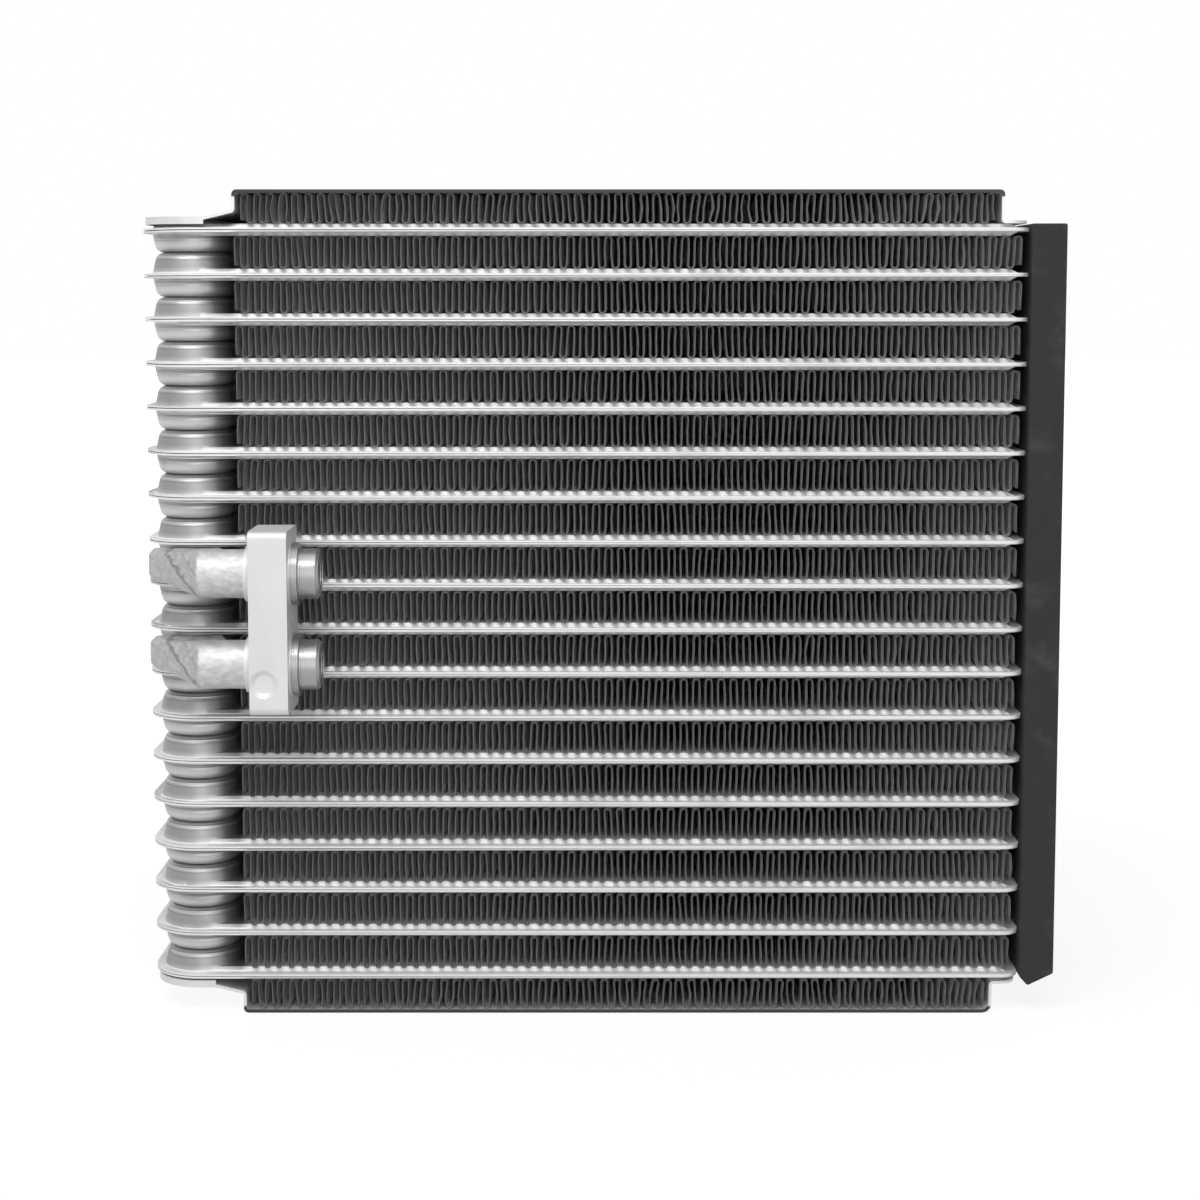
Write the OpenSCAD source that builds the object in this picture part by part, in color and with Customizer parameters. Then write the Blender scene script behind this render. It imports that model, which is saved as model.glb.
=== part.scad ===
// Evaporator core of a vehicle air conditioner: stamped plate pairs whose drawn cups
// stack into headers at the left, folded fins between them, a side plate above and
// below, two connectors into a port block, and a foam strip down the right.
// X runs to the right, the front with the ports is -Y, and Z is up. The origin lies
// below the middle of the core, on the underside of the lower side plate.

/* [Tubes] */
// Number of flat tubes
tubes = 18; // [12:1:22]
// Distance from one tube to the next
tube_pitch = 12; // [11.4:0.1:14]
// Thickness of a tube over its two plates
tube_t = 3.2; // [2.6:0.1:4]
// Thickness of the plate sheet
plate_t = 0.5; // [0.4:0.05:0.6]
// Depth of a tube from its front edge to its back edge
tube_depth = 75; // [68:0.5:90]
// Width of the flat brazed edge along a tube
edge_w = 2.4; // [1.8:0.1:2.8]
// Run of the sloping shoulder between that edge and the tube's face
shoulder_w = 1.2; // [1:0.1:1.8]
// Run of the longer slope at the far end of a tube
end_slope_w = 2.8; // [2:0.1:5]
// Width of the seam that parts the two passes of a tube
seam_w = 2.4; // [2:0.1:4]
// Length left open at the far end, where the flow turns back
turn_w = 14; // [10:0.5:20]
// Corner radius of a tube at its far end
end_corner_r = 5; // [3:0.5:9]
// Distance from the header's centre line to the far ends of the tubes
header_to_end = 226; // [190:1:270]

/* [Header cups] */
// Radius of a cup at its foot
cup_foot_r = 11.2; // [10.4:0.1:12]
// How much narrower a full cup is at its crown
cup_taper = 0.8; // [0.5:0.1:2]
// Rounding of a cup between its wall and its crown
cup_round_r = 2.4; // [0.8:0.1:2.4]
// Width of the flat ring at a cup's crown
crown_w = 2.4; // [1.6:0.1:3.2]
// Width of the flat lip round the foot of a cup
lip_w = 2.2; // [1.6:0.1:2.8]
// Height of the shallow cups at the top and bottom of the stack
end_cup_h = 2.6; // [2.4:0.1:4]
// Gap between the front and the rear cups
cup_parting = 4; // [3.6:0.1:7]

/* [Fins] */
// Length of one full wave of a fin
wave_len = 3.44; // [3:0.02:5]
// Thickness of the fin sheet
fin_t = 0.16; // [0.1:0.01:0.25]
// How far a fin's leg leans over its height
fin_lean = 0.36; // [0.1:0.02:0.6]
// Space between the header cups and the fins
fin_gap = 0.3; // [0.3:0.1:3]
// How far the fins stop short of the far ends of the tubes
fin_end_gap = 1; // [1:0.1:6]
// How far the tubes stand out in front of the fins and behind them
fin_inset = 2.4; // [1:0.1:5]
// Height of the room for the first and last fin, under the side plates
outer_fin_h = 8.2; // [6:0.1:12]
// Extra length that the first and last fin lack beside the header
outer_fin_late = 1.8; // [1.4:0.1:8]
// Extra length that the first and last fin lack at the far end
outer_fin_short = 7.2; // [4:0.1:20]

/* [Side plates] */
// Thickness of the side plates
side_t = 0.8; // [0.6:0.1:1.2]
// Inner radius of the bends in the side plates
side_bend_r = 0.5; // [0.3:0.1:1]
// Inner radius of the lower side plate's bend at the far end
lower_end_bend_r = 1.8; // [0.5:0.1:3]
// How far a side plate lies inside the outline of the tubes
side_inset = 0.6; // [0.2:0.1:2]
// Rise of the slope between the header and the riser
side_slope_rise = 1.9; // [1:0.1:2.4]
// Length of that slope
side_slope_len = 8; // [5:0.1:9]
// Height of the rim turned down round the header end of a side plate
side_rim_h = 2; // [1.2:0.1:2.6]

/* [Port block] */
// Distance between the two ports, in tube pitches
port_pitches = 2; // [2:2:4]
// Thickness of the block, along the ports
block_t = 10; // [8:0.5:16]
// Distance from a port's axis to the nearer end of the block
block_end = 12; // [9:0.1:20]
// Depth of the block, front to back
block_w = 20; // [18:0.5:30]
// Distance from the header's centre line to the block
block_from_header = 20; // [19:0.2:40]
// Space between the tubes' front edges and the block
block_gap = 9; // [8:0.1:14]
// Corner radius of the block
block_corner_r = 2; // [0.5:0.1:3]
// Diameter of the bosses that take the connectors
boss_d = 14.6; // [14.2:0.1:17]
// Length of those bosses
boss_len = 1.8; // [1:0.1:4]
// Radius of the fillet at the foot of a boss
boss_fillet_r = 1; // [0.4:0.1:1.4]
// Diameter of the spigots
spigot_d = 13.2; // [12:0.1:14]
// Length that a spigot stands out of the block
spigot_len = 7.6; // [6:0.1:14]
// Chamfer at the end of a spigot
spigot_chamfer = 0.8; // [0.3:0.1:1.5]
// Diameter of the collar at the foot of a spigot
collar_d = 16.4; // [15:0.1:18]
// Length of that collar
collar_len = 2.2; // [1:0.1:3]
// Bore through the block and the spigots
port_bore_d = 8.6; // [6:0.1:9]
// Core diameter of the tapped hole between the ports
stud_hole_d = 5; // [4:0.1:6]
// Depth of that hole
stud_hole_depth = 8; // [5:0.5:8]
// Diameter of the round dimple low on the block's front
dimple_d = 7.4; // [4:0.1:9]
// Diameter of that dimple's flat floor
dimple_floor_d = 4.8; // [2:0.1:7]
// Depth of that dimple
dimple_depth = 0.7; // [0.2:0.1:2]

/* [Connectors] */
// Outer diameter of a connector where it enters the block
pipe_d = 12.8; // [11:0.1:13.2]
// Length of the round part of a connector
pipe_len = 14; // [10:0.5:16]
// Height of a connector's flat root between the tube edges
root_h = 8.8; // [8:0.1:9.2]
// Chamfer round the edges of the root
root_chamfer = 1.5; // [0.5:0.1:2]
// How far the root reaches past the header's centre line
root_reach = 11.4; // [8:0.1:12]
// Bore through the root into the header
root_bore_d = 6.6; // [5:0.1:7]

/* [Foam strip] */
// Thickness of the foam strip
foam_t = 9.4; // [4:0.1:15]
// How far the foam's point reaches below the lowest tube's seam
foam_drop = 2.8; // [0:0.1:5]
// How far the foam reaches above the highest tube's seam
foam_rise = 1.6; // [0:0.1:5]
// Rise of the bevel from the foam's point to its outer side
foam_bevel = 3.4; // [1:0.1:6]
// Rise of the bevel from that point to the tubes
foam_inner_bevel = 2.6; // [0.4:0.1:6]
// Share of the foam's thickness at which its point lies
foam_point = 0.25; // [0.1:0.05:0.9]

/* [Hidden] */
function numbered(name, i) = str(name, i < 10 ? "_0" : "_", i);
$fn = 48;
joint_gap = 0.04;
cut = 1;

header_x = -111;
end_x = header_x + header_to_end;
half_depth = tube_depth / 2;
half_t = tube_t / 2;
first_tube_z = side_t + outer_fin_h + half_t;
core_h = 2 * first_tube_z + (tubes - 1) * tube_pitch;

full_cup_h = (tube_pitch - joint_gap) / 2;
lobe_r = cup_foot_r + lip_w;
cup_front_y = -half_depth + lobe_r;
cup_run = half_depth - lip_w - cup_parting / 2 - 2 * cup_foot_r;
pan_y = half_depth - edge_w;

fin_x0 = header_x + cup_foot_r + fin_gap;
fin_x1 = end_x - fin_end_gap;
fin_depth = tube_depth - 2 * fin_inset;
riser_x = fin_x0 + outer_fin_late - joint_gap - side_t;
lip_x = fin_x1 - outer_fin_short + joint_gap;

split = floor(tubes / 2);
port_seams = [split - port_pitches / 2, split + port_pitches / 2];
block_h = port_pitches * tube_pitch + 2 * block_end;
block_x = header_x + block_from_header;
port_y = -half_depth - block_gap - block_w / 2;
root_x = block_x - pipe_len;
elbow_x = root_x + pipe_d / 4;

aluminium = [0.82, 0.83, 0.84];
fin_grey = [0.42, 0.43, 0.44];
machined = [0.86, 0.86, 0.85];
cast_grey = [0.76, 0.76, 0.76];
foam_black = [0.12, 0.12, 0.13];

// Height of tube i's joint plane and of the seam below tube i, counted from the top
function tube_z(i) = core_h - first_tube_z - (i - 1) * tube_pitch;
function seam_z(i) = tube_z(i) - tube_pitch / 2;
function ports_at(i) = len([for (s = port_seams) if (s == i) s]) > 0;

function unit(v) = v / norm(v);
function left_of(v) = [-v[1], v[0]];

// Points on the arc of radius r that rounds corner i of a path
function bend(p, i, r, steps) =
    let (
        a = unit(p[i - 1] - p[i]),
        b = unit(p[i + 1] - p[i]),
        half = acos(a * b) / 2,
        c = p[i] + r / sin(half) * unit(a + b),
        u = unit(p[i] + r / tan(half) * a - c),
        v = unit(p[i] + r / tan(half) * b - c),
        turn = acos(u * v)
    )
    [for (k = [0 : steps])
        c + r * (sin(turn * (1 - k / steps)) * u + sin(turn * k / steps) * v) / sin(turn)];

// A path with each inner corner i rounded by radii[i - 1]
function rounded(p, radii, steps) = concat(
    [p[0]],
    [for (i = [1 : len(p) - 2]) each bend(p, i, radii[i - 1], steps)],
    [p[len(p) - 1]]
);

// Outline corner beside point i of a path, at the distance s to its left
function mitre(p, i, s) =
    i == 0 ? p[0] + s * left_of(unit(p[1] - p[0]))
    : i == len(p) - 1 ? p[i] + s * left_of(unit(p[i] - p[i - 1]))
    : let (a = left_of(unit(p[i] - p[i - 1])), b = left_of(unit(p[i + 1] - p[i])))
        p[i] + s * (a + b) / (1 + a * b);

// Section of a sheet of thickness t folded along a path
function folded(p, t) = concat(
    [for (i = [0 : len(p) - 1]) mitre(p, i, t / 2)],
    [for (i = [len(p) - 1 : -1 : 0]) mitre(p, i, -t / 2)]
);

// Extrudes a section drawn in X and Z along Y, centred
module along_y(depth) {
    rotate([90, 0, 0]) linear_extrude(depth, center = true) children();
}

// Extrudes a section drawn in Y and Z along X, from x0 to x1
module along_x(x0, x1) {
    translate([x0, 0, 0]) rotate([90, 0, 90]) linear_extrude(x1 - x0) children();
}

// A profile of radius and height carried round a slot that runs back from the front
module slot_body(profile, run) {
    mirrored = [for (k = [len(profile) - 1 : -1 : 0])
        if (profile[k][0] > 0) [-profile[k][0], profile[k][1]]];
    rotate([0, 0, 180]) rotate_extrude(angle = 180) polygon(profile);
    translate([0, run, 0]) rotate([90, 0, 0]) linear_extrude(run)
        polygon(concat(profile, mirrored));
    translate([0, run, 0]) rotate_extrude(angle = 180) polygon(profile);
}

// Puts children at the front header and, mirrored, at the rear one
module at_header(front, rear) {
    if (front) translate([header_x, cup_front_y, 0]) children();
    if (rear) mirror([0, 1, 0]) translate([header_x, cup_front_y, 0]) children();
}

// Wall of a cup of height h from foot to crown, grown outwards by s
function cup_wall(h, s) =
    let (
        taper = cup_taper * h / full_cup_h,
        r = cup_round_r + s,
        c = [cup_foot_r - taper - cup_round_r, h - cup_round_r],
        lean = atan(taper / h)
    )
    concat([[cup_foot_r + s, 0]],
        [for (k = [0 : 4]) let (a = lean + (90 - lean) * k / 4) c + r * [cos(a), sin(a)]]);

// Solid shape of a cup, from the joint plane to its crown
module cup_outside(h) {
    slot_body(concat([[0, joint_gap / 2]],
        [for (p = cup_wall(h, 0)) [p[0], max(p[1], joint_gap / 2)]], [[0, h]]), cup_run);
}

// Hollow of a cup, with or without the hole through its crown
module cup_inside(h, open) {
    hole_r = cup_foot_r - cup_taper * h / full_cup_h - cup_round_r - crown_w;
    wall = cup_wall(h, -plate_t);
    floor_z = h - plate_t;
    slot_body(concat([[0, -cut], [wall[0][0], -cut]], wall,
        open ? [[hole_r, floor_z], [hole_r, h + cut], [0, h + cut]] : [[0, floor_z]]),
        cup_run);
}

// Flow channel of a plate: s is 0 for the outside and plate_t for the hollow
module channel(s) {
    foot = s * norm([shoulder_w, half_t]) / half_t;
    top = half_t - s;
    rise = shoulder_w * top / half_t;
    end_foot = end_x - edge_w - s * norm([end_slope_w, half_t]) / half_t;
    end_rise = end_slope_w * top / half_t;
    base = s > 0 ? -cut : joint_gap / 2;
    y = pan_y - foot;
    seam = seam_w / 2 + foot;
    function foot_of(x) = s > 0 ? [[x, 0]] : [];
    difference() {
        intersection() {
            along_x(header_x, end_x) polygon(concat([[-y, base], [y, base]], foot_of(y),
                [[y - rise, top], [rise - y, top]], foot_of(-y)));
            along_y(tube_depth) polygon(concat([[header_x, base], [end_foot, base]],
                foot_of(end_foot), [[end_foot - end_rise, top], [header_x, top]]));
        }
        along_x(header_x - cut, end_x - turn_w + foot)
            polygon([[-seam, -2 * cut], [seam, -2 * cut], [seam, 0],
                [seam + shoulder_w, half_t], [seam + shoulder_w, half_t + cut],
                [-seam - shoulder_w, half_t + cut], [-seam - shoulder_w, half_t], [-seam, 0]]);
    }
}

// Flat outline of a plate, inset by s
module plate_outline(s) {
    r = lobe_r - s;
    left = header_x - lobe_r + s;
    right = end_x - s;
    y = half_depth - s;
    for (side = [-1, 1]) {
        translate([header_x, side * cup_front_y]) circle(r);
        translate([right - end_corner_r, side * (y - end_corner_r)]) circle(end_corner_r);
    }
    translate([left, cup_front_y]) square([2 * r, -2 * cup_front_y]);
    translate([header_x, -y]) square([right - end_corner_r - header_x, 2 * y]);
    translate([header_x, end_corner_r - y])
        square([right - header_x, 2 * (y - end_corner_r)]);
}

// One stamped plate with its face up, in the frame of its joint plane
module plate(cup_h, front_open, rear_open) {
    difference() {
        union() {
            translate([0, 0, joint_gap / 2])
                linear_extrude(plate_t - joint_gap / 2) plate_outline(0);
            channel(0);
            at_header(true, true) cup_outside(cup_h);
        }
        channel(plate_t);
        at_header(front_open, false) cup_inside(cup_h, true);
        at_header(!front_open, false) cup_inside(cup_h, false);
        at_header(false, rear_open) cup_inside(cup_h, true);
        at_header(false, !rear_open) cup_inside(cup_h, false);
    }
}

// Straight way from the header's front cup to the connector, at the height of a seam
module root_way(d) {
    from = [header_x, cup_front_y];
    to = [elbow_x, port_y];
    way = to - from;
    translate([from[0], from[1], 0]) rotate([0, 0, atan2(way[1], way[0])])
        rotate([0, 90, 0]) cylinder(d = d, h = norm(way));
}

// Tube i from the top: two plates back to back
module tube(i) {
    color(aluminium) translate([0, 0, tube_z(i)]) difference() {
        union() {
            plate(i == 1 ? end_cup_h : full_cup_h, i > 1 && i != split + 1, i > 1);
            mirror([0, 0, 1])
                plate(i == tubes ? end_cup_h : full_cup_h, i < tubes && i != split, i < tubes);
        }
        if (ports_at(i)) translate([0, 0, -tube_pitch / 2]) root_way(root_bore_d);
        if (ports_at(i - 1)) translate([0, 0, tube_pitch / 2]) root_way(root_bore_d);
    }
}

// Centre line of a fin: legs that lean a little between flat crests
function fin_path(x0, x1, h) =
    let (
        waves = round((x1 - x0) / wave_len),
        step = (x1 - x0) / (2 * waves),
        half_crest = (step - fin_lean) / 2,
        z = (h - fin_t) / 2
    )
    concat([[x0 + half_crest, -z]],
        [for (j = [1 : 2 * waves - 1]) for (side = [-1, 1])
            [x0 + j * step + side * half_crest, j % 2 == 1 ? z : -z]],
        [[x1 - half_crest, -z]]);

// Fin i from the top, one folded sheet
module fin(i) {
    outer = i == 1 || i == tubes + 1;
    x0 = fin_x0 + (outer ? outer_fin_late : 0);
    x1 = fin_x1 - (outer ? outer_fin_short : 0);
    h = (outer ? outer_fin_h : tube_pitch - tube_t) - 2 * joint_gap;
    z = i == 1 ? tube_z(1) + half_t + outer_fin_h / 2
        : i > tubes ? tube_z(tubes) - half_t - outer_fin_h / 2
        : seam_z(i - 1);
    color(fin_grey) translate([0, 0, z]) along_y(fin_depth)
        polygon(folded(fin_path(x0, x1, h), fin_t));
}

// Side plate over the first tube: flat on the cups with a rim round it, a slope, a riser,
// a run over the fin, and a foot on the tube's far end
module side_plate(end_r) {
    mid = side_t / 2;
    flat_z = tube_z(1) + end_cup_h + joint_gap + mid;
    run_z = core_h - mid;
    foot_z = tube_z(1) + half_t + joint_gap + mid;
    slope_x = riser_x + mid - side_slope_len;
    path = [
        [header_x - lobe_r, flat_z],
        [slope_x, flat_z],
        [riser_x + mid, flat_z + side_slope_rise],
        [riser_x + mid, run_z],
        [lip_x + mid, run_z],
        [lip_x + mid, foot_z],
        [end_x, foot_z]
    ];
    r = side_bend_r + mid;
    intersection() {
        along_y(tube_depth)
            polygon(folded(rounded(path, [r, r, r, end_r + mid, r], 3), side_t));
        linear_extrude(core_h + cut) plate_outline(side_inset);
    }
    translate([0, 0, flat_z + mid - side_rim_h]) linear_extrude(side_rim_h - mid)
        intersection() {
            difference() {
                plate_outline(side_inset);
                plate_outline(side_inset + side_t);
            }
            translate([slope_x - header_to_end, -tube_depth])
                square([header_to_end, 2 * tube_depth]);
        }
}

module top_side_plate() {
    color(aluminium) side_plate(side_bend_r);
}

module bottom_side_plate() {
    color(aluminium) translate([0, 0, core_h]) mirror([0, 0, 1])
        side_plate(lower_end_bend_r);
}

// Plan of a connector's toe, which lies against the header
module toe_plan(s) {
    toe_r = 3;
    hull() {
        translate([header_x - root_reach + toe_r, -half_depth + 1]) circle(toe_r - s, $fn = 24);
        translate([header_x + 6, -half_depth + 3]) circle(toe_r - s, $fn = 24);
    }
}

// Plan of a connector's root, from its toe to the elbow
module root_plan(s) {
    hull() {
        toe_plan(s);
        translate([elbow_x, port_y + 0.6]) circle(pipe_d / 2 - 0.6 - s, $fn = 32);
    }
}

// Children carried from the height of the root's chamfer up to its flanks
module root_slab(s) {
    linear_extrude(root_h - 2 * s, center = true) children();
}

// Connector from the front header to the block, at the height of its port's seam: a root
// between the lips, a flare in front of them, and a round part
module connector(z) {
    color(cast_grey) translate([0, 0, z]) difference() {
        union() {
            hull() {
                root_slab(0) root_plan(root_chamfer);
                root_slab(root_chamfer) root_plan(0);
            }
            hull() {
                root_slab(root_chamfer) intersection() {
                    toe_plan(0);
                    translate([-header_to_end, -2 * half_depth - joint_gap])
                        square([header_to_end, half_depth]);
                }
                translate([root_x, port_y, 0]) rotate([0, 90, 0]) cylinder(d = pipe_d, h = 1);
            }
            translate([root_x, port_y, 0]) rotate([0, 90, 0])
                cylinder(d = pipe_d, h = pipe_len - joint_gap);
        }
        at_header(true, false) for (side = [0, 1]) mirror([0, 0, side])
            translate([0, 0, -tube_pitch / 2])
                slot_body(concat([[0, 0]], cup_wall(full_cup_h, joint_gap),
                    [[0, full_cup_h + joint_gap]]), cup_run);
        root_way(root_bore_d);
        translate([elbow_x, port_y, 0]) {
            rotate([0, 90, 0]) cylinder(d = port_bore_d, h = pipe_len);
            sphere(d = port_bore_d);
        }
    }
}

module upper_connector() {
    connector(seam_z(port_seams[0]));
}

module lower_connector() {
    connector(seam_z(port_seams[1]));
}

// Boss with a fillet at its foot, along -X from the block's face
module boss() {
    r = boss_d / 2;
    f = boss_fillet_r;
    rotate([0, -90, 0]) rotate_extrude() polygon(concat(
        [[0, -cut], [r + f, -cut]],
        [for (a = [0 : 30 : 90]) [r + f - f * sin(a), f - f * cos(a)]],
        [[r, boss_len], [0, boss_len]]));
}

// Spigot with its collar and chamfer, along +X from the block's face
module spigot() {
    r = spigot_d / 2;
    rotate([0, 90, 0]) rotate_extrude() polygon([
        [0, -cut], [collar_d / 2, -cut], [collar_d / 2, collar_len], [r, collar_len],
        [r, spigot_len - spigot_chamfer], [r - spigot_chamfer, spigot_len], [0, spigot_len]]);
}

// Shallow dimple with sloping sides, sunk along +Z
module dimple() {
    out = cut * (dimple_d - dimple_floor_d) / dimple_depth;
    translate([0, 0, -cut]) cylinder(d1 = dimple_d + out, d2 = dimple_floor_d,
        h = dimple_depth + cut);
}

module port_block() {
    z = seam_z(split);
    r = block_corner_r;
    length = boss_len + block_t + spigot_len + 2 * cut;
    color(machined) difference() {
        union() {
            translate([0, port_y, z]) along_x(block_x, block_x + block_t) {
                for (y = [-1, 1]) for (up = [-1, 1])
                    translate([y * (block_w / 2 - r), up * (block_h / 2 - r)]) circle(r);
                square([block_w - 2 * r, block_h], center = true);
                square([block_w, block_h - 2 * r], center = true);
            }
            for (s = port_seams) {
                translate([block_x, port_y, seam_z(s)]) boss();
                translate([block_x + block_t, port_y, seam_z(s)]) spigot();
            }
        }
        for (s = port_seams) translate([block_x - boss_len - cut, port_y, seam_z(s)])
            rotate([0, 90, 0]) {
                cylinder(d = port_bore_d, h = length);
                cylinder(d = pipe_d + 2 * joint_gap, h = boss_len + cut);
            }
        translate([block_x + block_t - stud_hole_depth, port_y, z]) rotate([0, 90, 0])
            cylinder(d = stud_hole_d, h = stud_hole_depth + cut);
        translate([block_x + dimple_d / 2, port_y - block_w / 2,
            seam_z(port_seams[1]) - dimple_d / 2]) rotate([-90, 0, 0])
            dimple();
    }
}

// Foam strip against the far ends of the tubes, with a pointed lower end
module foam_strip() {
    x0 = end_x + joint_gap;
    low = tube_z(tubes) - foam_drop;
    high = tube_z(1) + foam_rise;
    color(foam_black) along_y(tube_depth)
        polygon([[x0, high], [x0, low + foam_inner_bevel], [x0 + foam_point * foam_t, low],
            [x0 + foam_t, low + foam_bevel], [x0 + foam_t, high]]);
}

for (i = [1 : tubes]) tube(i);
for (i = [1 : tubes + 1]) fin(i);
top_side_plate();
bottom_side_plate();
upper_connector();
lower_connector();
port_block();
foam_strip();
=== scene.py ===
import math

import bmesh
import bpy
import numpy as np
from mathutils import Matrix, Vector


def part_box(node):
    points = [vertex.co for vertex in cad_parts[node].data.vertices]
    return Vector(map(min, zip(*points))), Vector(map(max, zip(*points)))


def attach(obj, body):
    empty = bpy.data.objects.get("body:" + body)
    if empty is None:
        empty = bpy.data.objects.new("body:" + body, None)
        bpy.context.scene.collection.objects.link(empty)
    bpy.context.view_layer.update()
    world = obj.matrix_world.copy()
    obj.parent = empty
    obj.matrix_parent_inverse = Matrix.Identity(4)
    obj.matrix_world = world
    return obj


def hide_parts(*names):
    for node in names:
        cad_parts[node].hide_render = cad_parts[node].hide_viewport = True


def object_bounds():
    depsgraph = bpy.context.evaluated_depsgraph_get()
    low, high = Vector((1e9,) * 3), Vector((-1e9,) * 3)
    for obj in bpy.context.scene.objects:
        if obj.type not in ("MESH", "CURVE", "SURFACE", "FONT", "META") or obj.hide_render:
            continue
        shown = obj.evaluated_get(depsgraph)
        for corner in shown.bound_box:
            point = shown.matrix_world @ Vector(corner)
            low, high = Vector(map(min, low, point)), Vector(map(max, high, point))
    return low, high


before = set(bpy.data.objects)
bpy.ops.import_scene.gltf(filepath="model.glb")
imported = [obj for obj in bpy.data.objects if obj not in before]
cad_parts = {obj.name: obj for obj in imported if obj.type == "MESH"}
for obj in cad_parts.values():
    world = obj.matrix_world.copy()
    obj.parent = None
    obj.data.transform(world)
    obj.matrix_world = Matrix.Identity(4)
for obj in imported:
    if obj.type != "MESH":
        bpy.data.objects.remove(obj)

# Evaporator core: stamped tubes with drawn cup headers at the left, folded fins, a port
# block on two forged connectors, and a foam strip down the right. Metres throughout.
MM = 0.001
cad_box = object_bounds()
TUBES = sorted(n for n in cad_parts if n.startswith("tube_"))
FINS = sorted(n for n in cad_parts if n.startswith("fin_"))


def limits(node):
    """Lowest and highest corner of a CAD node as two arrays."""
    lo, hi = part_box(node)
    return np.array(lo), np.array(hi)


def joint_z(node):
    """Height of the joint between a tube's two plates. The first and last tube have one
    shallow cup, so it isn't their middle."""
    lo, hi = limits(node)
    half = (TUBE_HI[2] - TUBE_LO[2]) / 2
    return lo[2] + half if node == TUBES[0] else hi[2] - half


# Tubes and the block: their places read from the frame, the header's axis, and the block's
# face on the side of the spigots
TUBE_LO, TUBE_HI = limits("tube_02")
TUBE_PITCH = joint_z(TUBES[1]) - joint_z(TUBES[0])
HEADER_X = -111 * MM
BLOCK_FACE = -81 * MM

# Drawn cups: the middle of their round ends, the radius where the lip begins, the width over
# which it starts to move, and how far right of the axis the lips and the walls are bent
CUP_Y = 24.1 * MM
LIP_R = 11.4 * MM
LIP_RUN = 2 * MM
LIP_END_X = HEADER_X + 8 * MM
CUP_END_X = HEADER_X + 14 * MM

# How far handling has bent the lips: up or down as a whole, in waves, and apart. LEAN is how
# far the cup walls are drawn in, between the foot's share of a cup's height and the seam
LIP_LIFT = 0.16 * MM
LIP_WAVE = 0.22 * MM
LIP_PARTING = 0.1 * MM
LEAN = 0.5 * MM
FOOT_SHARE = 0.2

# Folded fins: wave, sheet thickness, sideways bow of the legs, steps round a crest, how fast
# dents fade behind the edges, how far the sheet reaches out beyond its plain solid, how far
# the outermost louvre stands out of a leg, and the pitch of the louvre lines
WAVE = 3.44 * MM
SHEET = 0.16 * MM
BOW = 1.9 * MM
BEND_STEPS = 4
FADE = 16
FIN_REACH = 0.9 * MM
SLAT = 0.36 * MM
LOUVRE_PITCH = 1.4 * MM
FIN_MIDDLE = (limits(FINS[1])[0][1] + limits(FINS[1])[1][1]) / 2
FIN_HALF = limits(FINS[1])[1][1] - FIN_MIDDLE + FIN_REACH

# Dents of the fins: sideways shift of a crest by chance and in slow waves, and the belly of a
# leg. The two outer fins, which nothing shields, are dented OUTER_UNREST times as much
CREST_SHIFT = 0.10 * MM
CREST_LEAN = 0.16 * MM
BELLY = 0.12 * MM
OUTER_UNREST = 2.2


class Value:
    """A number running through a shader, which does maths with Python's operators."""

    def __init__(self, nodes, socket):
        self.nodes = nodes
        self.socket = socket

    def maths(self, operation, *others):
        made = self.nodes.node("ShaderNodeMath", {"operation": operation}, [self, *others])
        return Value(self.nodes, made.outputs[0])

    def __add__(self, other):
        return self.maths("ADD", other)

    def __mul__(self, other):
        return self.maths("MULTIPLY", other)

    def __sub__(self, other):
        return self.maths("SUBTRACT", other)

    def __truediv__(self, other):
        return self.maths("DIVIDE", other)

    def __rsub__(self, other):
        return (self * -1.0) + other

    __radd__ = __add__

    def step(self, low, high):
        """0 at low, 1 at high, with a smooth rise between. Low may be the greater one."""
        made = self.nodes.node("ShaderNodeMapRange", {"interpolation_type": "SMOOTHSTEP"},
                               [self, low, high])
        return Value(self.nodes, made.outputs[0])

    def ridge(self, centre, half):
        """1 at centre, falling to 0 half a width away on either side."""
        return 1 - ((self - centre).maths("ABSOLUTE") / half).step(0, 1)


class Nodes:
    """A node tree, written from empty."""

    def __init__(self, tree):
        self.tree = tree
        tree.nodes.clear()

    def feed(self, made, inputs):
        """Gives a node's inputs their values or links."""
        pairs = inputs.items() if isinstance(inputs, dict) else enumerate(inputs)
        for key, value in pairs:
            if isinstance(value, Value):
                value = value.socket
            if isinstance(value, bpy.types.NodeSocket):
                self.tree.links.new(value, made.inputs[key])
            else:
                made.inputs[key].default_value = value

    def node(self, kind, settings=None, inputs=()):
        """A node of that kind: its settings first, then the values or links of its inputs."""
        made = self.tree.nodes.new(kind)
        for name, value in (settings or {}).items():
            setattr(made, name, value)
        self.feed(made, inputs)
        return made


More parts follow.
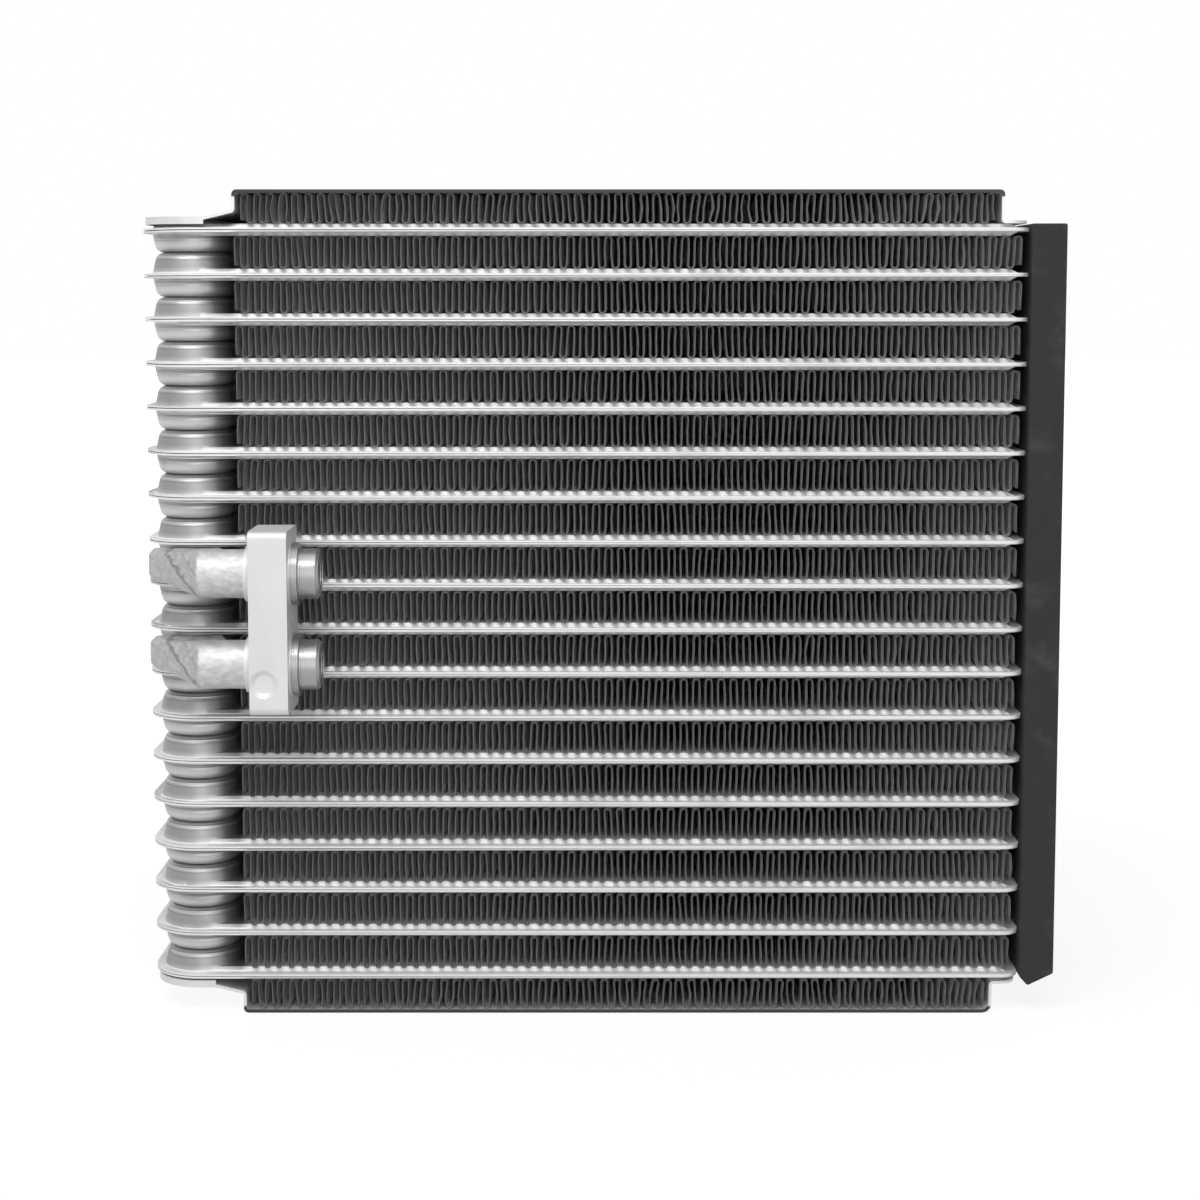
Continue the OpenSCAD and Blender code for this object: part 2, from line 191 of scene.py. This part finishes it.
class Finish(Nodes):
    """One material: a Principled shader whose inputs are worked out from Object coordinates."""

    def __init__(self, name):
        self.material = bpy.data.materials.new(name)
        self.material.use_nodes = True
        super().__init__(self.material.node_tree)
        self.shader = self.node("ShaderNodeBsdfPrincipled")
        self.node("ShaderNodeOutputMaterial", {}, [self.shader.outputs[0]])
        self.place = self.node("ShaderNodeTexCoord").outputs["Object"]
        split = self.node("ShaderNodeSeparateXYZ", {}, [self.place])
        self.x, self.y, self.z = (Value(self, out) for out in split.outputs)

    def noise(self, scale, detail=3.0, stretch=(1, 1, 1)):
        """Noise from 0 to 1 with features of about 1 / scale metres."""
        moved = self.node("ShaderNodeMapping", {}, {"Vector": self.place, "Scale": stretch})
        made = self.node("ShaderNodeTexNoise", {"noise_dimensions": "3D"},
                         {"Vector": moved.outputs[0], "Scale": scale, "Detail": detail})
        return Value(self, made.outputs[0])

    def fin_depth(self):
        """How deep a point lies behind the fins' nearer edge, in millimetres."""
        return (FIN_HALF - (self.y - FIN_MIDDLE).maths("ABSOLUTE")) / MM

    def mix(self, amount, low, high):
        """Colour between low and high."""
        made = self.node("ShaderNodeMix", {"data_type": "RGBA"},
                         {"Factor": amount, 6: colour(low), 7: colour(high)})
        return made.outputs[2]

    def bump(self, height, depth, strength):
        """Normal of a surface raised by height times depth metres."""
        made = self.node("ShaderNodeBump", {},
                         {"Strength": strength, "Distance": depth, "Height": height})
        return made.outputs[0]

    def set(self, **inputs):
        """Gives the shader's inputs plain numbers, or what the nodes worked out."""
        self.feed(self.shader, {name.replace("_", " "): inputs[name] for name in inputs})
        return self.material


def colour(value):
    """A grey or a colour as four numbers, or a socket as it is."""
    if isinstance(value, (int, float)):
        return (value, value, value, 1.0)
    if isinstance(value, tuple):
        return (*value, 1.0)
    return value


def plate_finish():
    """Brazed sheet: white satin along the tubes and lips, greyer and shinier on the drawn cups,
    with flux stains in patches. Drawing rings in relief go round every cup, with a paler band
    of painted highlight on the standing cup's crown, dark rings of painted shade near its foot
    and on the hanging cup, painted shade over the hanging cup, and painted shade darkening the
    cups' right end, beside the fins. The shoulders in front of the fins are greyer with painted
    shade.

    The height h runs from 0 to 1 between the joints of neighbouring tubes: the standing cup
    is the first half, the hanging cup the second."""
    f = Finish("brazed plate")
    grain = f.noise(900, 3, (0.25, 1, 1))
    stain = f.noise(70, 4).step(0.50, 0.78)
    h = ((f.z - joint_z(TUBES[0])) / TUBE_PITCH).maths("FRACT")
    tube = (f.x / MM).step(-100, -96)
    lip = (h - 0.5).maths("ABSOLUTE").step(0.425, 0.45)
    cup = (1 - tube) * (1 - lip)
    shade = h.step(0.58, 0.70) * h.step(0.97, 0.80)
    drawn = f.mix(stain, (0.48, 0.483, 0.488), (0.32, 0.323, 0.327))
    # Painted shade: the hanging cup is darkened between the seam and the flange above it.
    drawn = f.mix(shade * 0.62, drawn, (0.20, 0.202, 0.206))
    # Painted highlight: a paler band round the standing cup's crown, below the seam.
    drawn = f.mix(h.ridge(0.34, 0.13) * 0.45, drawn, (0.72, 0.723, 0.727))
    # Painted shade: dark rings near the standing cup's foot and on the hanging cup.
    shade_rings = h.ridge(0.165, 0.045) + h.ridge(0.66, 0.04)
    drawn = f.mix(shade_rings * 0.5, drawn, (0.16, 0.161, 0.164))
    # Painted shade: the cups darken towards their right end, beside the fins.
    drawn = f.mix((f.x / MM).step(-107, -99) * 0.6, drawn, (0.08, 0.081, 0.083))
    plain = f.mix(stain * 0.5, (0.86, 0.863, 0.867), (0.64, 0.643, 0.647))
    # Painted shade: the tube's shoulder in front of the fins is made greyer.
    shoulder_shade = h.step(0.02, 0.035) * h.step(0.2, 0.15) * f.fin_depth().step(0.2, 0)
    plain = f.mix(shoulder_shade * tube * 0.85, plain, (0.40, 0.402, 0.406))
    rings = h.ridge(0.575, 0.03) - h.ridge(0.21, 0.05) + h.ridge(0.13, 0.03)
    return f.set(Base_Color=f.mix(cup, plain, drawn), Metallic=cup * 0.5 + 0.25,
                 Roughness=grain * 0.12 + 0.40 + stain * 0.08 - cup * 0.03,
                 Normal=f.bump(grain * 0.15 + rings * cup, 0.0003, 0.7))


def fin_finish():
    """Fin sheet: dull grey, a row of louvre lines down the depth, and painted shade that
    darkens it towards the cut edges."""
    f = Finish("fin sheet")
    lines = f.noise(2500, 2, (1, 1, 0.08))
    patch = f.noise(45, 3)
    sheet = f.mix(patch, (0.52, 0.522, 0.526), (0.68, 0.682, 0.686))
    # Painted shade: the sheet darkens over the first 4 mm behind each cut edge.
    base = f.mix(f.fin_depth().step(0.1, 4), (0.17, 0.172, 0.175), sheet)
    louvre = (f.y * (2 * math.pi / LOUVRE_PITCH)).maths("SINE")
    return f.set(Base_Color=base, Metallic=0.3, Roughness=lines * 0.2 + 0.42,
                 Normal=f.bump(louvre, 0.0002, 0.6))


def side_finish():
    """Side plate: the same sheet, a little duller and scuffed along its length, with painted
    shade darkening the cut front edge of its outer run."""
    f = Finish("side sheet")
    scuff = f.noise(600, 3, (0.08, 1, 1))
    patch = f.noise(60, 4).step(0.45, 0.75)
    base = f.mix(patch * 0.6, (0.72, 0.724, 0.728), (0.55, 0.553, 0.557))
    lowest, highest = limits("bottom_side_plate")[0][2], limits("top_side_plate")[1][2]
    front = limits("top_side_plate")[0][1] / MM
    middle = (highest + lowest) / 2
    inward = ((f.z - middle).maths("ABSOLUTE") - (highest - middle)) / MM
    # Painted shade: the cut front edge of the outer run is darkened nearly to black.
    edge = inward.step(-2.2, -1.6) * (f.y / MM).step(front + 0.5, front + 0.2)
    base = f.mix(edge, base, (0.04, 0.04, 0.04))
    return f.set(Base_Color=base, Metallic=0.5, Roughness=scuff * 0.2 + 0.34,
                 Normal=f.bump(scuff, 0.00004, 0.5))


def cast_finish():
    """Forged connector: grey, lightly pitted skin with two slanting creases whose dark colour
    is painted shade, smoother and brighter along the round part."""
    f = Finish("forged skin")
    pits = f.noise(1400, 4)
    broad = f.noise(420, 3, (1, 1, 1.6))
    turned = (f.x / MM).step(-105.6, -104.2)
    slant = (f.x * 0.9 + f.z + broad * (4 * MM) + 9.5 * MM) / (TUBE_PITCH * 2)
    slant = slant.maths("FRACT")
    crease_and_shade = (slant.ridge(0.5, 0.055) + slant.ridge(0.26, 0.03) * 0.5) * (1 - turned)
    skin = f.mix(broad.step(0.3, 0.75), (0.42, 0.42, 0.42), (0.55, 0.55, 0.55))
    # Painted shade: the creases are darkened.
    skin = f.mix(crease_and_shade * 0.7, skin, (0.15, 0.15, 0.15))
    smooth = f.mix(broad.step(0.35, 0.65), (0.52, 0.52, 0.52), (0.64, 0.64, 0.64))
    relief = (pits * 0.5 + broad * 0.5) * (1 - turned * 0.35) - crease_and_shade * 0.7
    return f.set(Base_Color=f.mix(turned, skin, smooth), Metallic=0.55,
                 Roughness=0.46 + pits * 0.16, Normal=f.bump(relief, 0.0004, 0.7))


def machined_finish():
    """Machined block: pale matte faces with very fine tool lines. The spigots are turned, so
    they're darker and shinier with rings round them."""
    f = Finish("machined face")
    tool = f.noise(3000, 2, (0.1, 1, 0.05))
    cloud = f.noise(90, 3)
    turned = (f.x / MM).step(BLOCK_FACE / MM + 0.1, BLOCK_FACE / MM + 0.4)
    rings = (f.x * (2 * math.pi / (0.55 * MM))).maths("SINE") * turned
    base = f.mix(cloud, (0.66, 0.66, 0.655), (0.76, 0.76, 0.755))
    base = f.mix(turned, base, (0.36, 0.36, 0.357))
    return f.set(Base_Color=base, Metallic=turned * 0.45 + 0.3,
                 Roughness=tool * 0.12 + 0.42 - turned * 0.16,
                 Normal=f.bump(tool * 0.3 + rings * 0.5, 0.00006, 0.5))


def foam_finish():
    """Closed-cell foam: near black, fine pores and a few rubbed, paler patches."""
    f = Finish("black foam")
    pores = f.noise(2600, 2)
    rubbed = f.noise(120, 4).step(0.5, 0.8)
    base = f.mix(rubbed, (0.022, 0.022, 0.023), (0.06, 0.06, 0.062))
    return f.set(Base_Color=base, Metallic=0.0, Roughness=0.85,
                 Normal=f.bump(pores, 0.00025, 0.9))


def add_object(name, mesh, material, smooth_angle):
    """Links a mesh as a piece that rides with the core. Edges that turn by more than
    smooth_angle degrees stay sharp."""
    piece = bpy.data.objects.new(name, mesh)
    bpy.context.scene.collection.objects.link(piece)
    mesh.materials.clear()
    mesh.materials.append(material)
    mesh.shade_smooth()
    mesh.set_sharp_from_angle(angle=math.radians(smooth_angle))
    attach(piece, "root")
    return piece


def grid_mesh(name, points):
    """Mesh of quads over an array of points with shape (u, v, 3)."""
    nu, nv = points.shape[:2]
    index = np.arange(nu * nv).reshape(nu, nv)
    quads = np.stack([index[:-1, :-1], index[1:, :-1], index[1:, 1:], index[:-1, 1:]], axis=-1)
    mesh = bpy.data.meshes.new(name)
    mesh.from_pydata(points.reshape(-1, 3).tolist(), [], quads.reshape(-1, 4).tolist())
    return mesh


def clean_copy(node, flat_angle=1.0):
    """A CAD node's mesh with its corners merged and its flat faces made whole."""
    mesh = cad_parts[node].data.copy()
    work = bmesh.new()
    work.from_mesh(mesh)
    bmesh.ops.remove_doubles(work, verts=work.verts, dist=0.004 * MM)
    bmesh.ops.dissolve_limit(work, angle_limit=math.radians(flat_angle),
                             verts=work.verts, edges=work.edges)
    work.to_mesh(mesh)
    work.free()
    return mesh


def bevel(piece, width, segments, angle=30):
    """Rounds a piece's edges that turn by more than angle degrees."""
    modifier = piece.modifiers.new("edges", "BEVEL")
    modifier.width = width
    modifier.segments = segments
    modifier.limit_method = "ANGLE"
    modifier.angle_limit = math.radians(angle)


def fin_sheet(node, seed, unrest):
    """Middle surface of one folded fin, as an array of points (along the sheet, depth, 3).

    Along the sheet the profile climbs a leg and turns over a crest, a half circle of radius
    step / 2 round centre j. Down the depth t every leg bows sideways by BOW sin(pi t) ** 2,
    less near both ends of the fin. The crests are shifted a little to either side, the legs
    have a belly, and both fade with exp(-FADE t) behind the front edge and the back edge. The
    first and last louvre stand out of every leg by SLAT."""
    lo, hi = limits(node)
    rng = np.random.default_rng(seed)
    waves = int(round((hi[0] - lo[0]) / WAVE))
    step = (hi[0] - lo[0] - SHEET) / (2 * waves)
    radius = step / 2
    crest_z = (hi[2] - lo[2] - SHEET) / 2 - radius
    bends = np.arange(1, 2 * waves)
    side = np.where(bends % 2 == 1, 1.0, -1.0)
    share = bends / (2 * waves)
    lean = np.sin(share * 31 + rng.uniform(0, 6)) * np.sin(share * 13 + rng.uniform(0, 6))
    shift = unrest * (rng.normal(0, CREST_SHIFT, bends.size) + CREST_LEAN * side * lean)
    turn = np.linspace(math.pi, 0, BEND_STEPS + 1)
    crest_x = (bends * step + shift)[:, None] + radius * np.cos(turn)
    crest_h = side[:, None] * (crest_z + radius * np.sin(turn))
    belly = unrest * rng.normal(0, BELLY, bends.size)
    middle_x = np.append(crest_x[:-1, -1] + crest_x[1:, 0], 2 * crest_x[-1, -1]) / 2 + belly
    along_x = np.concatenate([crest_x, middle_x[:, None]], axis=1).ravel()
    along_z = np.concatenate([crest_h, np.zeros((bends.size, 1))], axis=1).ravel()
    even_x = np.concatenate([(bends * step)[:, None] + radius * np.cos(turn),
                             (bends * step + radius)[:, None]], axis=1).ravel()
    first_leg, last_leg = [radius, radius], [2 * waves * step - radius]
    along_x = np.concatenate([first_leg, along_x, last_leg])
    even_x = np.concatenate([first_leg, even_x, last_leg])
    along_z = np.concatenate([[-crest_z, 0.0], along_z, [-crest_z]])
    t = np.array([0, 0.022, 0.045, 0.2, 0.4, 0.6, 0.8, 0.955, 0.978, 1.0])
    slat = SLAT * np.array([0, 1, 0, 0, 0, 0, 0, 0, 1, 0])
    fade = np.exp(-FADE * np.minimum(t, 1 - t))
    inside = np.clip(np.minimum(even_x, even_x[-1] - even_x) / (5 * WAVE), 0, 1)
    bow = BOW * np.sin(math.pi * t) ** 2
    x = even_x[:, None] + (along_x - even_x)[:, None] * fade + inside[:, None] * bow - slat
    y = lo[1] - FIN_REACH + t * (hi[1] - lo[1] + 2 * FIN_REACH)
    z = (lo[2] + hi[2]) / 2 + along_z[:, None]
    return np.stack(np.broadcast_arrays(lo[0] + SHEET / 2 + x, y, z), axis=-1)


def make_fin(node, seed, unrest, material):
    """One folded fin in place of its plain solid, with rounded crests."""
    mesh = grid_mesh(node + "_folded", fin_sheet(node, seed, unrest))
    piece = add_object(node + "_folded", mesh, material, 60)
    wall = piece.modifiers.new("wall", "SOLIDIFY")
    wall.thickness = SHEET
    wall.offset = 0
    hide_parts(node)


def make_tube(node, seed, material):
    """A tube with the lips round its cups a little out of true, as handling leaves them, and
    its cup walls drawn in between the foot and the seam.

    Points beyond the cup's foot move up or down by a wave round the cup. Wall points at height
    h over the foot move LEAN sin(pi h / wall height) towards the cup's axis."""
    mesh = clean_copy(node, 0.2)
    points = np.empty(len(mesh.vertices) * 3)
    mesh.vertices.foreach_get("co", points)
    points = points.reshape(-1, 3)
    rng = np.random.default_rng(seed)
    reach = np.hypot(points[:, 0] - HEADER_X, np.abs(points[:, 1]) - CUP_Y)
    lip = np.clip((reach - LIP_R) / LIP_RUN, 0, 1) * (points[:, 0] < LIP_END_X)
    angle = np.arctan2(points[:, 1], points[:, 0] - HEADER_X)
    swing = rng.normal(0, LIP_LIFT) + LIP_WAVE * np.sin(angle * 2 + rng.uniform(0, 6))
    points[:, 2] += lip * (swing + np.sign(points[:, 2] - joint_z(node)) * LIP_PARTING)
    side = np.where(points[:, 1] < 0, -1.0, 1.0)
    height = np.abs(points[:, 2] - joint_z(node)) / (TUBE_PITCH / 2)
    wall = np.sin(math.pi * np.clip((height - FOOT_SHARE) / (1 - FOOT_SHARE), 0, 1))
    pull = LEAN * wall * (points[:, 0] < CUP_END_X) / np.maximum(reach, 1 * MM)
    points[:, 0] -= pull * (points[:, 0] - HEADER_X)
    points[:, 1] -= pull * (points[:, 1] - side * CUP_Y)
    mesh.vertices.foreach_set("co", points.ravel())
    piece = add_object(node + "_plates", mesh, material, 32)
    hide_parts(node)


def make_edged(node, name, material, width, segments=2, angle=30):
    """A rigid piece with its edges eased."""
    piece = add_object(name, clean_copy(node), material, angle + 10)
    bevel(piece, width, segments, angle)
    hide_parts(node)


def make_connector(node, material):
    """A forged connector: its solid remeshed and relaxed so that its corners flow."""
    piece = add_object(node + "_forged", clean_copy(node, 0.2), material, 60)
    shell = piece.modifiers.new("skin", "REMESH")
    shell.mode = "VOXEL"
    shell.voxel_size = 0.32 * MM
    shell.use_smooth_shade = True
    ease = piece.modifiers.new("ease", "SMOOTH")
    ease.factor = 0.5
    ease.iterations = 8
    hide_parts(node)


def make_foam(material):
    """The foam strip: its solid with softly rounded edges."""
    piece = add_object("foam_strip_soft", clean_copy("foam_strip"), material, 50)
    bevel(piece, 0.5 * MM, 3)
    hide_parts("foam_strip")


def area_lamp(name, place, aim, width, height, power):
    """A soft box of width by height at place, turned towards aim."""
    lamp = bpy.data.lights.new(name, "AREA")
    lamp.shape = "RECTANGLE"
    lamp.size = width
    lamp.size_y = height
    lamp.energy = power
    holder = bpy.data.objects.new(name, lamp)
    holder.location = place
    holder.rotation_mode = "QUATERNION"
    holder.rotation_quaternion = (Vector(aim) - Vector(place)).to_track_quat("-Z", "Y")
    bpy.context.scene.collection.objects.link(holder)


def seen_white(nodes, plain, white):
    """Shader that is plain as a light, and white to the camera, in gloss and through glass."""
    path = nodes.node("ShaderNodeLightPath")
    add = {"operation": "ADD", "use_clamp": True}
    gloss = nodes.node("ShaderNodeMath", add,
                       [path.outputs["Is Camera Ray"], path.outputs["Is Glossy Ray"]])
    seen = nodes.node("ShaderNodeMath", add,
                      [gloss.outputs[0], path.outputs["Is Transmission Ray"]])
    mixed = nodes.node("ShaderNodeMixShader", {},
                       [seen.outputs[0], plain.outputs[0], white.outputs[0]])
    return mixed.outputs[0]


def make_world():
    """Dim, even light all round, with a white background."""
    world = bpy.data.worlds.new("studio")
    bpy.context.scene.world = world
    world.use_nodes = True
    nodes = Nodes(world.node_tree)
    dim = nodes.node("ShaderNodeBackground", {}, [colour(1.0), 0.22])
    white = nodes.node("ShaderNodeBackground", {}, [colour(1.0), 1.0])
    nodes.node("ShaderNodeOutputWorld", {}, [seen_white(nodes, dim, white)])


def floor_finish():
    """Pale floor. To the camera it is a glow that rises from a little under white near the
    core to full white at some distance, and a faint matte that holds the core's shadow."""
    material = bpy.data.materials.new("pale floor")
    material.use_nodes = True
    nodes = Nodes(material.node_tree)
    place = nodes.node("ShaderNodeTexCoord").outputs["Object"]
    away = nodes.node("ShaderNodeVectorMath", {"operation": "LENGTH"}, [place])
    near, far, near_glow, far_glow = 0.1, 0.9, 0.86, 1.1
    rise = nodes.node("ShaderNodeMapRange", {},
                      [away.outputs["Value"], near, far, near_glow, far_glow])
    glow = nodes.node("ShaderNodeEmission", {}, [colour(1.0), rise.outputs[0]])
    faint = nodes.node("ShaderNodeBsdfDiffuse", {}, [colour(0.2)])
    both = nodes.node("ShaderNodeAddShader", {}, [faint.outputs[0], glow.outputs[0]])
    matte = nodes.node("ShaderNodeBsdfDiffuse", {}, [colour(0.85)])
    nodes.node("ShaderNodeOutputMaterial", {}, [seen_white(nodes, matte, both)])
    return material


def make_floor():
    """A square floor, 0.1 mm under the core."""
    half = 6.0
    z = cad_box[0][2] - 0.1 * MM
    mesh = bpy.data.meshes.new("floor")
    mesh.from_pydata([(-half, -half, z), (half, -half, z), (half, half, z), (-half, half, z)],
                     [], [(0, 1, 2, 3)])
    mesh.materials.append(floor_finish())
    floor = bpy.data.objects.new("floor", mesh)
    bpy.context.scene.collection.objects.link(floor)


def make_camera():
    """The photograph's view: from the front, a little above, with the frame lowered."""
    frame_width = 323.5 * MM
    distance = 600 * MM
    sensor = 36.0
    pitch = math.radians(5.5)
    lowered = 0.08
    middle = np.array([-0.3 * MM, TUBE_LO[1], 115.2 * MM])
    aim = middle + np.array([0, 0, lowered * frame_width])
    camera = bpy.data.cameras.new("camera")
    camera.sensor_width = sensor
    camera.lens = sensor * distance / frame_width
    camera.shift_y = -lowered
    camera.clip_start = 0.01
    holder = bpy.data.objects.new("camera", camera)
    holder.location = aim + distance * np.array([0, -math.cos(pitch), math.sin(pitch)])
    holder.rotation_euler = (math.pi / 2 - pitch, 0, 0)
    bpy.context.scene.collection.objects.link(holder)
    bpy.context.scene.camera = holder


make_camera()
make_world()
make_floor()
area_lamp("key", (-0.28, -0.80, 1.20), (-0.02, 0, 0.11), 1.2, 0.45, 10.5)
area_lamp("front", (0.1, -1.4, 0.35), (0, 0, 0.11), 0.9, 0.9, 4)
area_lamp("top", (0.0, -0.1, 1.0), (0, 0, 0.11), 0.6, 0.6, 0.8)

plate_metal, fin_metal = plate_finish(), fin_finish()
for number, tube_node in enumerate(TUBES):
    make_tube(tube_node, 100 + number, plate_metal)
for number, fin_node in enumerate(FINS):
    unrest = OUTER_UNREST if fin_node in (FINS[0], FINS[-1]) else 1
    make_fin(fin_node, 300 + number, unrest, fin_metal)
side_metal = side_finish()
make_edged("top_side_plate", "top_side_sheet", side_metal, 0.15 * MM)
make_edged("bottom_side_plate", "bottom_side_sheet", side_metal, 0.15 * MM)
make_edged("port_block", "machined_port_block", machined_finish(),
           0.4 * MM, 3, 12)
cast_metal = cast_finish()
make_connector("upper_connector", cast_metal)
make_connector("lower_connector", cast_metal)
make_foam(foam_finish())

bpy.context.scene.view_settings.view_transform = "Standard"
